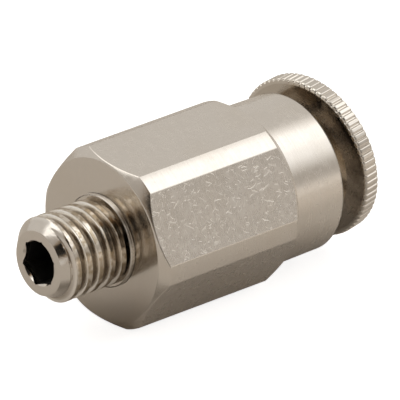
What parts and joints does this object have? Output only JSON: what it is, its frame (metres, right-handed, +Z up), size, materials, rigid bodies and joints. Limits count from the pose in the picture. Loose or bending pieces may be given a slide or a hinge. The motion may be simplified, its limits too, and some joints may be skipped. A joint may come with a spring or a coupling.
{
  "type": "push to connect fitting",
  "caption": "Straight male-stud push-to-connect pneumatic fitting: nickel-plated hexagon body, threaded stud with a key socket, sprung release ring with a knurled flange.",
  "frame": {"origin": "where the fitting's axis meets the hexagon's seating face", "axes": "+X along the axis from the threaded stud to the tube entry, +Z up and square to one of the hexagon's flats"},
  "size_m": [0.0211, 0.0104, 0.0097],
  "materials": {
    "nickel_body": "satin nickel plate on brass",
    "nickel_ring": "bright nickel plate on brass",
    "bare_brass": "turned",
    "spring_steel": "stamped stainless",
    "nitrile": "matt black"
  },
  "bodies": {
    "fitting_body": {"body": "nickel_body", "retaining_bush": "nickel_body", "seal_backup_ring": "bare_brass", "tube_seal_o_ring": "nitrile"},
    "cartridge": {"claw_cone_ring": "bare_brass"},
    "claws": {"grip_claw_ring": "spring_steel"},
    "push_ring": {"release_ring": "nickel_ring"}
  },
  "joints": [
    {"name": "cartridge_swivel", "type": "hinge", "parent": "fitting_body", "child": "cartridge", "pos_m": [0.01055, 0, 0], "axis": [1, 0, 0], "continuous": true},
    {"name": "release_press", "type": "slide", "parent": "cartridge", "child": "claws", "axis": [-1, 0, 0], "range_m": [0, 0.00055], "stiffness_N_per_m": 1500},
    {"name": "release_ring_rock", "type": "hinge", "parent": "claws", "child": "push_ring", "pos_m": [0.01178, 0, 0], "axis": [0, -0.6428, 0.766], "range_deg": [-15.6, 0]}
  ]
}
